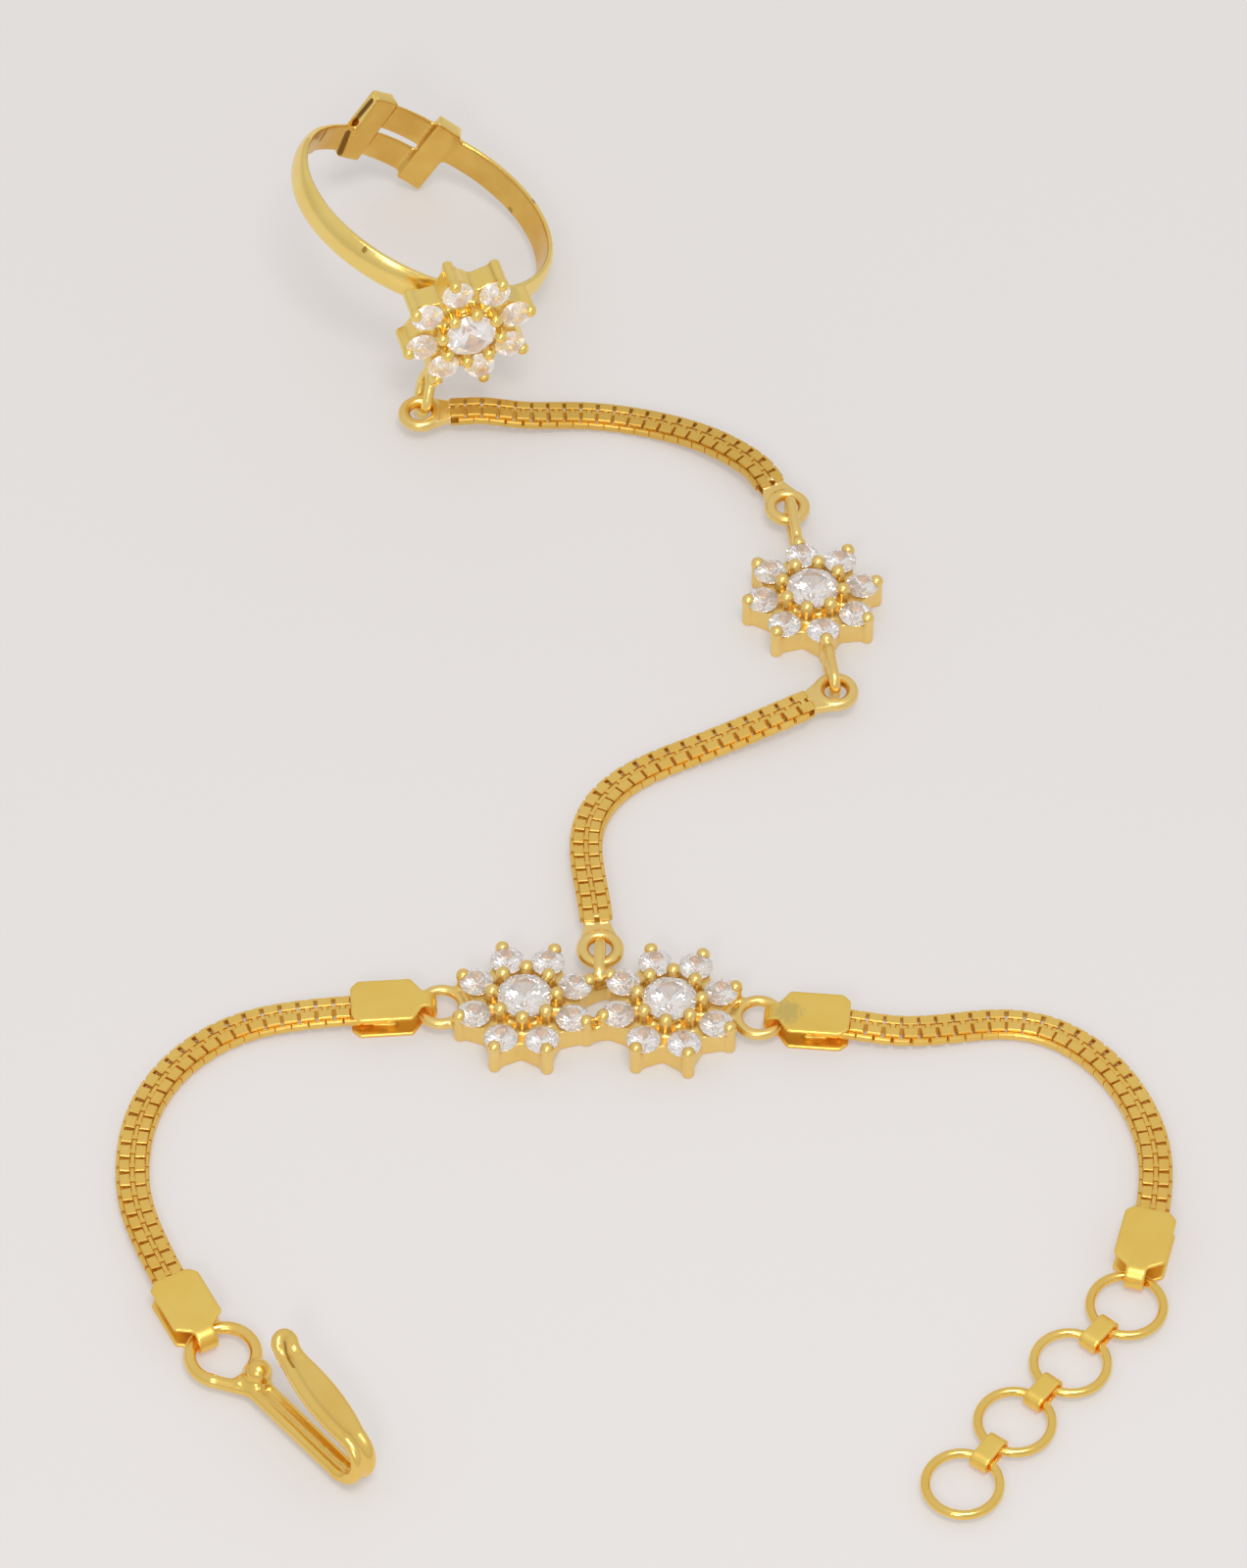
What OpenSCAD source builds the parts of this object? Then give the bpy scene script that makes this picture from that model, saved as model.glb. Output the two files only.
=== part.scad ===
// Hand chain bracelet, laid open: an adjustable finger ring with a stone flower,
// a chain to a middle flower, a chain to a pair of wrist flowers, and a wrist chain
// that ends in a springy hook on the left and four extension rings on the right.
// Millimetres, +Z up. The piece lies on z = 0 and the finger ring is farthest back.

/* [Flowers] */
// Diameter of the stone at the middle of a flower
centre_stone_d = 4; // [3.6:0.1:4.4]
// Diameter of the eight stones round it
petal_stone_d = 2.5; // [2.2:0.1:2.7]
// Space between the centre stone and a petal stone, where the inner prongs stand
stone_space = 0.65; // [0.55:0.05:1]
// Height of the star-shaped gallery
gallery_h = 2.05; // [1.8:0.05:2.6]
// Thickness of the gallery's walls
gallery_wall = 0.5; // [0.35:0.05:0.7]
// Thickness of the gallery's top plate, which the stones are let into
gallery_top = 0.65; // [0.4:0.05:0.9]
// How far a gallery tip reaches past its petal stone
tip_reach = 0.1; // [0:0.05:0.4]
// How deep the star's notches are cut
notch_depth = 1.4; // [1.2:0.05:2]
// Diameter of a prong
prong_d = 0.95; // [0.8:0.05:1.1]
// Diameter of the bead on top of a prong
bead_d = 1.1; // [1:0.05:1.3]
// Play between a stone and the metal that holds it
stone_gap = 0.03; // [0.02:0.01:0.08]
// Distance between the middles of the two wrist flowers
wrist_flower_pitch = 10.6; // [10.4:0.1:11.5]
// Diameter of the wire of the soldered loops
loop_wire_d = 0.85; // [0.7:0.05:0.9]
// Play between a soldered loop and the end ring that hangs in it
ring_play = 0.12; // [0.08:0.02:0.2]

/* [Finger ring] */
// Inside diameter of the finger ring
finger_d = 20.7; // [18:0.1:22]
// Thickness of the band
band_t = 0.75; // [0.6:0.05:1.2]
// Width of the band
band_w = 2.5; // [2.2:0.1:3]
// How much thinner the band is at its edges
band_crown = 0.3; // [0.15:0.05:0.4]
// Slit between the two band ends where they lie side by side
band_slit = 0.45; // [0.1:0.05:0.6]
// Slant of the two band ends against the rest of the band
band_slant = 10; // [7:1:12]
// Width of the strap tab at each band end
tab_w = 2.2; // [1.6:0.1:2.6]
// Thickness of the strap tabs
tab_t = 0.3; // [0.25:0.05:0.5]
// Play between a strap tab and the band end that slides in it
tab_gap = 0.1; // [0.06:0.02:0.2]
// How far the thinned ends of the band are set back from the finger, to make room for the tabs
ends_setback = 0.2; // [0.15:0.05:0.25]
// How far the tabs stand into the finger's hole, past the band
tab_stand = 0.2; // [0.1:0.05:0.2]

/* [Chains] */
// Pitch of the chain links
link_pitch = 1.3; // [1.25:0.01:1.4]
// Thickness of the strip that the links are made of
link_strip_t = 0.13; // [0.11:0.01:0.14]
// Width of one row of plates
plate_w = 0.68; // [0.5:0.01:0.75]
// Width of a flat link's middle bar, between the two rows of plates
middle_bar_w = 0.16; // [0.12:0.01:0.22]
// Height of the chain
chain_h = 1.15; // [1.1:0.05:1.3]
// Sideways and up-and-down play between links
link_play = 0.16; // [0.13:0.01:0.17]
// Play between neighbouring plates of one row
plate_play = 0.2; // [0.18:0.01:0.24]
// Play between neighbouring flat links
flat_play = 0.12; // [0.1:0.01:0.14]

/* [Chain ends] */
// Mean diameter of an end ring
end_ring_d = 2.6; // [2.5:0.05:3]
// Wire diameter of an end ring
end_ring_wire_d = 0.95; // [0.8:0.05:1]
// Thickness of a cap's strip
cap_t = 0.3; // [0.25:0.05:0.35]
// Clear height between a cap's plates
cap_clear = 1.5; // [1.4:0.05:1.7]
// Width of a cap's plates
cap_w = 3.8; // [3.2:0.1:4.2]
// Width of a cap's fold
fold_w = 1.5; // [1.3:0.1:1.7]
// Length of a cap from the bend of its fold to its mouth
cap_l = 5.3; // [5:0.1:5.8]

/* [Clasp] */
// Wire diameter of the hook
hook_wire_d = 0.95; // [0.8:0.05:1.05]
// Mean radius of the hook's eye
eye_r = 2.35; // [2.2:0.05:2.8]
// Length of the hook's legs, from the eye's middle to the bend
leg_l = 13; // [11:0.1:13.6]
// Distance between the hook's upper and lower legs
leg_rise = 3.1; // [2.6:0.1:3.4]
// Distance between the two wires of a leg
leg_space = 1.12; // [1.1:0.02:1.4]
// Diameter of the knob at the hook's joint
knob_d = 2; // [1.6:0.05:2.1]
// Mean diameter of an extension ring
ext_ring_d = 5.2; // [4.6:0.1:5.6]
// Wire diameter of an extension ring
ext_wire_d = 0.7; // [0.6:0.05:0.75]
// Length of a strap between the two ring wires that it joins
strap_reach = 1.3; // [1.2:0.1:1.8]
// Width of a strap
strap_w = 1.4; // [1.1:0.1:1.6]
// Thickness of a strap
strap_t = 0.3; // [0.25:0.05:0.35]

/* [Hidden] */
$fn = 32;
FLOWERS = ["ring", "middle", "left", "right"];
CHAINS = ["finger", "hand", "left_wrist", "right_wrist"];
ENDS = ["finger_chain_ring", "finger_chain_end", "hand_chain_end", "hand_chain_ring"];
CAPS = ["left_upper_cap", "right_upper_cap", "left_lower_cap", "right_lower_cap"];
function stone_name(f, k) = k == 0 ? str(f, "_centre_stone") : str(f, "_petal_stone_", k);
GOLD = "#dcae3c";
STONE = "#eef1f5";
EPS = 0.05;

// Sizes of a flower that follow from its stones
petal_r = centre_stone_d / 2 + stone_space + petal_stone_d / 2;
tip_r = petal_r + petal_stone_d / 2 + tip_reach;
notch_r = tip_r - notch_depth;
outer_prong_r = tip_r - 0.25;
inner_prong_r = centre_stone_d / 2 + 0.36;
petal_z = gallery_h + 0.25;
centre_z = gallery_h + 0.8;
outer_prong_top = petal_z + 0.15;
inner_prong_top = centre_z + 0.35;
// A brilliant cut's heights and table as shares of its diameter
crown_share = 0.15;
pavilion_share = 0.42;
table_share = 0.56;
girdle_h = 0.08;

// Sizes of the loops, end rings and caps that fit each other
loop_clear = end_ring_wire_d + 2 * ring_play;
loop_w = loop_clear + loop_wire_d;
loop_h = loop_w + loop_wire_d;
end_ring_r = end_ring_d / 2;
end_ring_z = loop_wire_d + loop_clear / 2;
cap_h = cap_clear + 2 * cap_t;
cap_z = cap_h / 2;
cap_block_x = cap_l - 2.6;
ring_z = strap_t + 0.08 + ext_wire_d / 2;
eye_z = cap_t + 0.1 + hook_wire_d / 2;
hook_joint_d = hook_wire_d + 0.12;

// Sizes of the chain links
plate_l = link_pitch - plate_play;
pair_gap = middle_bar_w + 2 * link_play;
pair_w = 2 * plate_w + pair_gap;
flat_l = link_pitch - flat_play;
flat_w = pair_w + 2 * link_play + 2 * link_strip_t;
flat_h = chain_h - 2 * link_strip_t - 2 * link_play;
flat_setback = 0.12;
plate_setback = 0.07;
wall_w = 0.36;
chain_z = chain_h / 2;

// Where the flowers lie: middle and turn about the upright
middle_at = [12.98, 18.24];
middle_turn = -11.3;
wrist_at = [-3.4, -21.61];
wrist_slope = -1.5;
left_at = wrist_at - wrist_flower_pitch / 2 * aim(wrist_slope);
right_at = wrist_at + wrist_flower_pitch / 2 * aim(wrist_slope);
left_turn = -3;
right_turn = -7;

// The finger ring leans on its band and its loop: heading, rise and lean of its flower
ring_heading = -74.5;
ring_rise = 4.4;
ring_lean = 27;
ring_at = [-17.37, 54.34];
ring_r = finger_d / 2;
band_mid_r = ring_r + band_t / 2;
ring_foot = 1.2;
ring_skirt = 0.3;
foot_r = 1.6;
ring_flower_x = ring_r + band_t + ring_foot;
ring_flower_roll = 15.5;
// The band ends slant past each other, with the slit at slit_z at the middle angle between the tabs
right_tab_angle = 192;
left_tab_angle = 158;
ends_angle = (right_tab_angle + left_tab_angle) / 2;
slit_z = -0.7;
end_offset = (band_w + band_slit) / 2;
slant_rise = band_mid_r * PI / 180 * tan(band_slant);
right_start = ends_angle - (slit_z + end_offset) / slant_rise;
left_start = ends_angle + (end_offset - slit_z) / slant_rise;
left_ends_start = ends_angle + 26;
sleeve_in_r = ring_r + ends_setback - tab_gap;
sleeve_out_r = ring_r + band_t + tab_gap;
sleeve_w = 2 * band_w + band_slit + 2 * tab_gap;
// The ring's middle is as high as puts the lower of its band and its tabs on the surface
function turned(p, a) = [p.x * cos(a) - p.y * sin(a), p.x * sin(a) + p.y * cos(a), p.z];
function slanted(p) = [p.x, p.y * cos(band_slant) - p.z * sin(band_slant),
    p.y * sin(band_slant) + p.z * cos(band_slant)];
tab_lows = [for (a = [left_tab_angle, right_tab_angle], r = [-1, 1], w = [-1, 1])
    let (x = r < 0 ? ring_r - tab_stand : sleeve_out_r + tab_t, p = [x, w * tab_w / 2, -sleeve_w / 2 - tab_t],
        q = turned(slanted(turned(p, a - ends_angle)), ends_angle))
    q.x * sin(ring_rise) + cos(ring_rise) * ((q.z + slit_z) * cos(ring_lean) - q.y * sin(ring_lean))];
function on_ring(p) = let (
    q = [p.x, p.y * cos(ring_lean) + p.z * sin(ring_lean), p.z * cos(ring_lean) - p.y * sin(ring_lean)],
    x = q.x * cos(ring_rise) - q.z * sin(ring_rise))
    [ring_at.x + x * cos(ring_heading) - q.y * sin(ring_heading),
     ring_at.y + x * sin(ring_heading) + q.y * cos(ring_heading),
     ring_low + q.x * sin(ring_rise) + q.z * cos(ring_rise)];
band_low = (ring_r + band_t - band_crown) * sin(ring_lean) + band_w / 2 * cos(ring_lean);
ring_low = max(band_low, -min(tab_lows));

// Length of each upright loop from its root to the middle of its far wire
top_loop_l = 4.5;
bottom_loop_l = 3.95;
wrist_loop_l = 3.7;
// The two flat side loops are wide enough for a cap's fold, on a root of solder
side_loop_d = fold_w + loop_wire_d + 0.8;
left_loop_root = 0.65;
right_loop_root = 1.12;
// How far a side loop's far wire lies past the middle of the fold's bend
side_loop_seat = 0.2;
left_loop_heading = 177;
right_loop_heading = -3.5;

// Far ends of the upright loops, and the end rings that hang on them
top_loop_heading = 97;
bottom_loop_heading = -82;
wrist_loop_heading = 88;
loop_root_r = tip_r + 0.15;
top_loop_root = middle_at + loop_root_r * aim(middle_turn + 112.5);
bottom_loop_root = middle_at + loop_root_r * aim(middle_turn - 67.5);
wrist_loop_root = wrist_at + [0.1, 2.1];
top_loop_end = top_loop_root + top_loop_l * aim(top_loop_heading);
bottom_loop_end = bottom_loop_root + bottom_loop_l * aim(bottom_loop_heading);
wrist_loop_end = wrist_loop_root + wrist_loop_l * aim(wrist_loop_heading);
finger_loop_turn = -97;
finger_loop_roll = 58;
loop_start_r = tip_r + 0.4;
finger_loop_root = on_ring(
    [ring_flower_x + 1.1, loop_start_r * cos(finger_loop_turn), loop_start_r * sin(finger_loop_turn)]);
finger_end_ring_at = [finger_loop_root.x - 0.6, finger_loop_root.y - 2.6];
finger_loop_hold = up(finger_end_ring_at + end_ring_r * aim(84), end_ring_z);
// How far a loop's far wire may lie off the middle of the end ring that hangs on it
ring_hang = end_ring_r - (end_ring_wire_d + loop_wire_d) / 2 - ring_play;
finger_chain_end_at = top_loop_end - ring_hang * aim(53);
hand_chain_end_at = bottom_loop_end - 0.4 * ring_hang * aim(90);
hand_chain_ring_at = wrist_loop_end - ring_hang * aim(wrist_loop_heading);
end_neck_l = 2.3;

// Chain routes: a few chosen points between the two ends, each [x, y]
FINGER_ROUTE = [[-9.07, 37.7], [-5.07, 38.3], [-1.27, 37.93], [2.3, 36.84], [5.75, 35.06]];
HAND_ROUTE = [[7.1, 5.08], [3.6, 3.58], [0.1, 2.04], [-2.56, -0.16], [-4.16, -3.17], [-4.38, -6.77]];
LEFT_ROUTE = [[-24.77, -21.66], [-28.42, -22.22], [-31.72, -23.86], [-34.56, -26.72], [-36.38, -30.42],
    [-36.92, -34.46], [-36.66, -38.32], [-35.52, -41.82]];
RIGHT_ROUTE = [[18.63, -23.37], [22.23, -22.87], [25.9, -22.18], [29.46, -22.66], [32.76, -24.92],
    [35.12, -28.2], [36.52, -31.96], [36.96, -35.64]];
// Mouths of the two lower caps, each [x, y], and the headings of all four caps
left_mouth = [-33.59, -46.09];
right_mouth = [36.32, -40.24];
left_upper_heading = 184;
right_upper_heading = -5;
left_lower_heading = 118;
right_lower_heading = 75;

// Straight lengths of chain at each end, as spacing of the route's end points
route_lead = 1.6;
function aim(a) = [cos(a), sin(a)];
function up(p, z) = [p.x, p.y, z];
function angle_to(p, q) = atan2(q.y - p.y, q.x - p.x);

// Where each cap's bend lies: on a side loop above, behind its mouth below
left_bend = left_at + (notch_r + left_loop_root + side_loop_d - side_loop_seat) * aim(left_loop_heading);
right_bend = right_at + (notch_r + right_loop_root + side_loop_d - side_loop_seat) * aim(right_loop_heading);
left_low_bend = left_mouth - cap_l * aim(left_lower_heading);
right_low_bend = right_mouth - cap_l * aim(right_lower_heading);

// The chain's first flat link sits this far from the end ring's middle or the cap's bend
ring_reach = end_neck_l + plate_l / 2 + link_pitch / 2;
cap_reach = cap_block_x + plate_l / 2 + link_pitch / 2;
// Headings of the end rings' necks
finger_ring_aim = 5;
finger_end_aim = 118;
hand_end_aim = -151;
hand_ring_aim = 96;

// A smooth curve through a list of control points, as closely spaced points
function blend4(c, i, u) = ((1 - u) ^ 3 * c[i] + (3 * u ^ 3 - 6 * u ^ 2 + 4) * c[i + 1]
    + (-3 * u ^ 3 + 3 * u ^ 2 + 3 * u + 1) * c[i + 2] + u ^ 3 * c[i + 3]) / 6;
function curve(c, steps = 12) = concat(
    [for (i = [0:len(c) - 4], k = [0:steps - 1]) blend4(c, i, k / steps)],
    [blend4(c, len(c) - 4, 1)]);
function running(p) = [for (i = 0, s = 0; i < len(p);
    s = s + (i + 1 < len(p) ? norm(p[i + 1] - p[i]) : 0), i = i + 1) s];
// A route leaves its first end at height z0, lies on the surface and rises to z1
function lead(at, heading, reach, z, side) =
    let (p = at + reach * aim(heading), d = route_lead * aim(heading))
    side > 0 ? [up(p - d, z), up(p, z), up(p + d, z)] : [up(p + d, z), up(p, z), up(p - d, z)];
// The share of an end's height that the chain still has at its first and second chosen points
LIFT = [0.62, 0.2];
function lift(i) = i < len(LIFT) ? LIFT[i] : 0;
function route(at0, h0, reach0, z0, points, at1, h1, reach1, z1) = curve(concat(
    lead(at0, h0, reach0, z0, 1),
    [for (i = [0:len(points) - 1]) up(points[i], chain_z
        + lift(i) * (z0 - chain_z) + lift(len(points) - 1 - i) * (z1 - chain_z))],
    lead(at1, h1, reach1, z1, -1)));
function table(p) = let (s = running(p)) [for (a = [0:2]) [for (i = [0:len(p) - 1]) [s[i], p[i][a]]]];
function at(t, s) = [lookup(s, t[0]), lookup(s, t[1]), lookup(s, t[2])];
function total(t) = t[0][len(t[0]) - 1][0];

// Puts children on a route at distance s, turned to follow it
module follow(t, s) {
    d = at(t, s + 0.4) - at(t, s - 0.4);
    translate(at(t, s)) rotate([0, -atan2(d.z, norm([d.x, d.y])), atan2(d.y, d.x)]) children();
}

// One solid of two box loops side by side, whose end walls are narrower than the plates, joined by bridges
module plate_pair() {
    bridge = plate_l * 0.32;
    inner_x = plate_l / 2;
    outer_x = inner_x - plate_setback;
    inner_h = chain_h - 2 * link_strip_t;
    difference() {
        linear_extrude(chain_h, center = true) union() {
            for (side = [-1, 1]) polygon([
                [inner_x, side * pair_gap / 2], [outer_x, side * pair_w / 2],
                [-outer_x, side * pair_w / 2], [-inner_x, side * pair_gap / 2]]);
            square([bridge, pair_gap + EPS], center = true);
        }
        cube([plate_l - 2 * link_strip_t, pair_w + 1, inner_h], center = true);
        for (side = [-1, 1]) translate([0, side * (pair_gap / 2 + wall_w + pair_w / 2), 0])
            cube([plate_l + 1, pair_w, inner_h], center = true);
    }
}

// A flat link with two windows, whose ends are set back at the sides to let the chain bend
module flat_link() {
    tip = flat_l / 2;
    half = flat_w / 2;
    x_at_y = function (y) tip - flat_setback * y / half;
    y0 = middle_bar_w / 2;
    y1 = half - link_strip_t;
    linear_extrude(flat_h, center = true) difference() {
        polygon([[tip, 0], [x_at_y(half), half], [-x_at_y(half), half], [-tip, 0],
            [-x_at_y(half), -half], [x_at_y(half), -half]]);
        for (side = [-1, 1]) polygon([
            [x_at_y(y0) - link_strip_t, side * y0], [x_at_y(y1) - link_strip_t, side * y1],
            [link_strip_t - x_at_y(y1), side * y1], [link_strip_t - x_at_y(y0), side * y0]]);
    }
}

module chain(p) color(GOLD) {
    t = table(p);
    n = round(total(t) / link_pitch);
    step = total(t) / n;
    for (i = [0:n]) follow(t, i * step) flat_link();
    for (i = [0:n - 1]) follow(t, (i + 0.5) * step) plate_pair();
}

module finger_chain() chain(route(finger_end_ring_at, finger_ring_aim, ring_reach, end_ring_z,
    FINGER_ROUTE, finger_chain_end_at, finger_end_aim, ring_reach, end_ring_z));
module hand_chain() chain(route(hand_chain_end_at, hand_end_aim, ring_reach, end_ring_z,
    HAND_ROUTE, hand_chain_ring_at, hand_ring_aim, ring_reach, end_ring_z));
module left_wrist_chain() chain(route(left_bend, left_upper_heading, cap_reach, cap_z,
    LEFT_ROUTE, left_low_bend, left_lower_heading, cap_reach, cap_z));
module right_wrist_chain() chain(route(right_bend, right_upper_heading, cap_reach, cap_z,
    RIGHT_ROUTE, right_low_bend, right_lower_heading, cap_reach, cap_z));

// An end ring with its neck and the pair of plates that is soldered to it
module end_ring(at, heading) color(GOLD) translate(up(at, end_ring_z)) rotate([0, 0, heading]) {
    neck_h = end_ring_wire_d * 0.7;
    neck_x = end_ring_r * 0.4;
    neck_y = end_ring_r * 1.15;
    rotate_extrude() translate([end_ring_r, 0]) circle(d = end_ring_wire_d);
    difference() {
        linear_extrude(neck_h, center = true) polygon([[neck_x, -neck_y], [neck_x, neck_y],
            [end_neck_l + EPS, pair_w / 2], [end_neck_l + EPS, -pair_w / 2]]);
        cylinder(h = neck_h + 1, r = end_ring_r, center = true);
    }
    translate([end_neck_l + plate_l / 2, 0, 0]) plate_pair();
}

// A strip folded round a wire, with two eight-sided plates over the chain's last plates
module cap(bend, heading) color(GOLD) translate(up(bend, cap_z)) rotate([0, 0, heading]) {
    outer = cap_h / 2;
    corner = 0.6;
    flare_l = 0.8;
    rotate([90, 0, 0]) linear_extrude(fold_w, center = true) difference() {
        union() {
            circle(outer);
            translate([0, -outer]) square([EPS, 2 * outer]);
        }
        circle(outer - cap_t);
        translate([0, -outer - 1]) square(2 * outer + 2);
    }
    for (side = [0, 1]) mirror([0, 0, side]) translate([0, 0, outer - cap_t]) linear_extrude(cap_t)
        polygon([[-EPS / 2, fold_w / 2], [0, fold_w / 2], [flare_l, cap_w / 2],
            [cap_l - corner, cap_w / 2], [cap_l, cap_w / 2 - corner], [cap_l, corner - cap_w / 2],
            [cap_l - corner, -cap_w / 2], [flare_l, -cap_w / 2], [0, -fold_w / 2],
            [-EPS / 2, -fold_w / 2]]);
    translate([cap_block_x - 0.3, 0, 0]) cube([0.7, pair_w, cap_h - cap_t], center = true);
    translate([cap_block_x + plate_l / 2, 0, 0]) plate_pair();
}

// The outline of a brilliant cut stone with its girdle at z = 0, grown by a gap
function stone_outline(d, gap) = [[0, -pavilion_share * d - 1.5 * gap], [d / 2 + gap, -girdle_h / 2],
    [d / 2 + gap, girdle_h / 2], [table_share * d / 2 + gap, girdle_h / 2 + crown_share * d + gap],
    [0, girdle_h / 2 + crown_share * d + gap]];
module stone_void(d) rotate_extrude() polygon(stone_outline(d, stone_gap));

// A brilliant: an eight-sided table, star and bezel facets, a girdle and a pavilion
module stone(d) color(STONE) {
    r = d / 2;
    tr = table_share * r;
    zt = girdle_h / 2 + crown_share * d;
    points = concat(
        [for (k = [0:7]) up(tr * aim(45 * k), zt)],
        [for (k = [0:15]) up(r * aim(22.5 * k), girdle_h / 2)],
        [for (k = [0:15]) up(r * aim(22.5 * k), -girdle_h / 2)],
        [[0, 0, -pavilion_share * d]]);
    faces = concat(
        [[for (k = [7:-1:0]) k]],
        [for (k = [0:7]) [k, (k + 1) % 8, 8 + 2 * k + 1]],
        [for (k = [0:7]) [k, 8 + 2 * k + 1, 8 + 2 * k]],
        [for (k = [0:7]) [k, 8 + 2 * k, 8 + (2 * k + 15) % 16]],
        [for (k = [0:15]) [8 + k, 8 + (k + 1) % 16, 24 + k]],
        [for (k = [0:15]) [8 + (k + 1) % 16, 24 + (k + 1) % 16, 24 + k]],
        [for (k = [0:15]) [24 + k, 24 + (k + 1) % 16, 40]]);
    polyhedron(points, faces);
}

// An eight-pointed star with its points halfway between the quarter directions
module star(scale_by = 1) polygon([for (k = [0:15])
    (k % 2 == 1 ? tip_r : notch_r) * scale_by * aim(22.5 * k)]);

// One flower setting: a hollow star gallery with prongs, standing on z = 0 and reaching foot below
module setting(foot = 0) {
    edge_far = tip_r * notch_r * sin(22.5) / norm(tip_r * aim(22.5) - [notch_r, 0]);
    plate_z = gallery_h - gallery_top;
    difference() {
        union() {
            translate([0, 0, -foot]) difference() {
                linear_extrude(gallery_h + foot) star();
                translate([0, 0, -1]) linear_extrude(plate_z + foot + 1)
                    star((edge_far - gallery_wall) / edge_far);
            }
            translate([0, 0, gallery_h - EPS])
                cylinder(h = centre_z - gallery_h - 0.2, r = centre_stone_d / 2 - 0.05);
            for (k = [0:7]) {
                rotate([0, 0, 22.5 + 45 * k]) translate([outer_prong_r, 0, -foot]) {
                    cylinder(h = foot + outer_prong_top, d = prong_d);
                    translate([0, 0, foot + outer_prong_top]) sphere(d = bead_d);
                }
                rotate([0, 0, 45 * k]) translate([inner_prong_r, 0, plate_z]) {
                    cylinder(h = inner_prong_top - plate_z, d = prong_d);
                    translate([0, 0, inner_prong_top - plate_z]) sphere(d = bead_d);
                }
            }
        }
        translate([0, 0, centre_z]) stone_void(centre_stone_d);
        translate([0, 0, plate_z - 1]) cylinder(h = centre_z - gallery_h + 1, d = centre_stone_d * 0.55);
        for (k = [0:7]) rotate([0, 0, 22.5 + 45 * k]) translate([petal_r, 0, petal_z])
            stone_void(petal_stone_d);
    }
}

module flower_stone(k) {
    if (k == 0) translate([0, 0, centre_z]) stone(centre_stone_d);
    else rotate([0, 0, 45 * k - 22.5]) translate([petal_r, 0, petal_z]) stone(petal_stone_d);
}

// A wire loop with round ends in the XY plane, whose far wire is at the origin
module oval_loop(l, w, d) {
    for (far = [0, 1]) translate([far == 1 ? -w / 2 : w / 2 - l, 0, 0])
        rotate_extrude(angle = 180, start = far == 1 ? -90 : 90) translate([w / 2, 0]) circle(d = d);
    for (side = [-1, 1]) translate([w / 2 - l, side * w / 2, 0]) rotate([0, 90, 0])
        cylinder(h = l - w, d = d);
}

// An upright loop that reaches l from a root to its far wire
module upright_loop(end, heading, l)
    translate(up(end, loop_h / 2)) rotate([90, 0, heading]) oval_loop(l, loop_w, loop_wire_d);

module place_flower(f) {
    if (f == "ring") place_ring() translate([ring_flower_x, 0, 0]) rotate([0, 90, 0])
        rotate([0, 0, ring_flower_roll]) children();
    if (f == "middle") translate(up(middle_at, 0)) rotate([0, 0, middle_turn]) children();
    if (f == "left") translate(up(left_at, 0)) rotate([0, 0, left_turn]) children();
    if (f == "right") translate(up(right_at, 0)) rotate([0, 0, right_turn]) children();
}

// The finger ring's own frame has its flower along +X and its axis along +Z
module place_ring() translate(up(ring_at, ring_low))
    rotate([-ring_lean, -ring_rise, ring_heading]) children();

// An arc of the band, a D-shaped strip turned round the finger and set back from it
module band_arc(from, to, setback = 0) {
    bulge_r = ((band_w / 2) ^ 2 + band_crown ^ 2) / (2 * band_crown);
    rotate([0, 0, from]) rotate_extrude(angle = to - from) intersection() {
        translate([ring_r + setback, -band_w / 2]) square([band_t - setback, band_w]);
        translate([ring_r + band_t - bulge_r, 0]) circle(bulge_r, $fn = 96);
    }
}

// Puts children on the slanting line that starts in the band's plane at one angle, tilted at another
module slanting(start, middle) translate([0, 0, (middle - start) * slant_rise]) rotate([0, 0, middle])
    rotate([band_slant, 0, 0]) rotate([0, 0, -middle]) children();

// A block between two radii of the ring
module ring_block(from, to, w, h) translate([(from + to) / 2, 0, 0]) cube([to - from, w, h], center = true);

// A strap tab: a flat sleeve round both band ends, soldered to the end on one side
module strap_tab(angle, side) slanting(ends_angle - slit_z / slant_rise, ends_angle) rotate([0, 0, angle]) {
    difference() {
        ring_block(ring_r - tab_stand - 0.15, sleeve_out_r + tab_t, tab_w, sleeve_w + 2 * tab_t);
        ring_block(sleeve_in_r, sleeve_out_r, tab_w + 1, sleeve_w);
    }
    translate([0, 0, side * (end_offset + band_w / 4)])
        ring_block(sleeve_in_r - EPS, sleeve_out_r + EPS, tab_w * 0.6, band_w / 2);
}

module finger_ring() color(GOLD) {
    finger_loop();
    place_ring() ring_and_flower();
}

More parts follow.
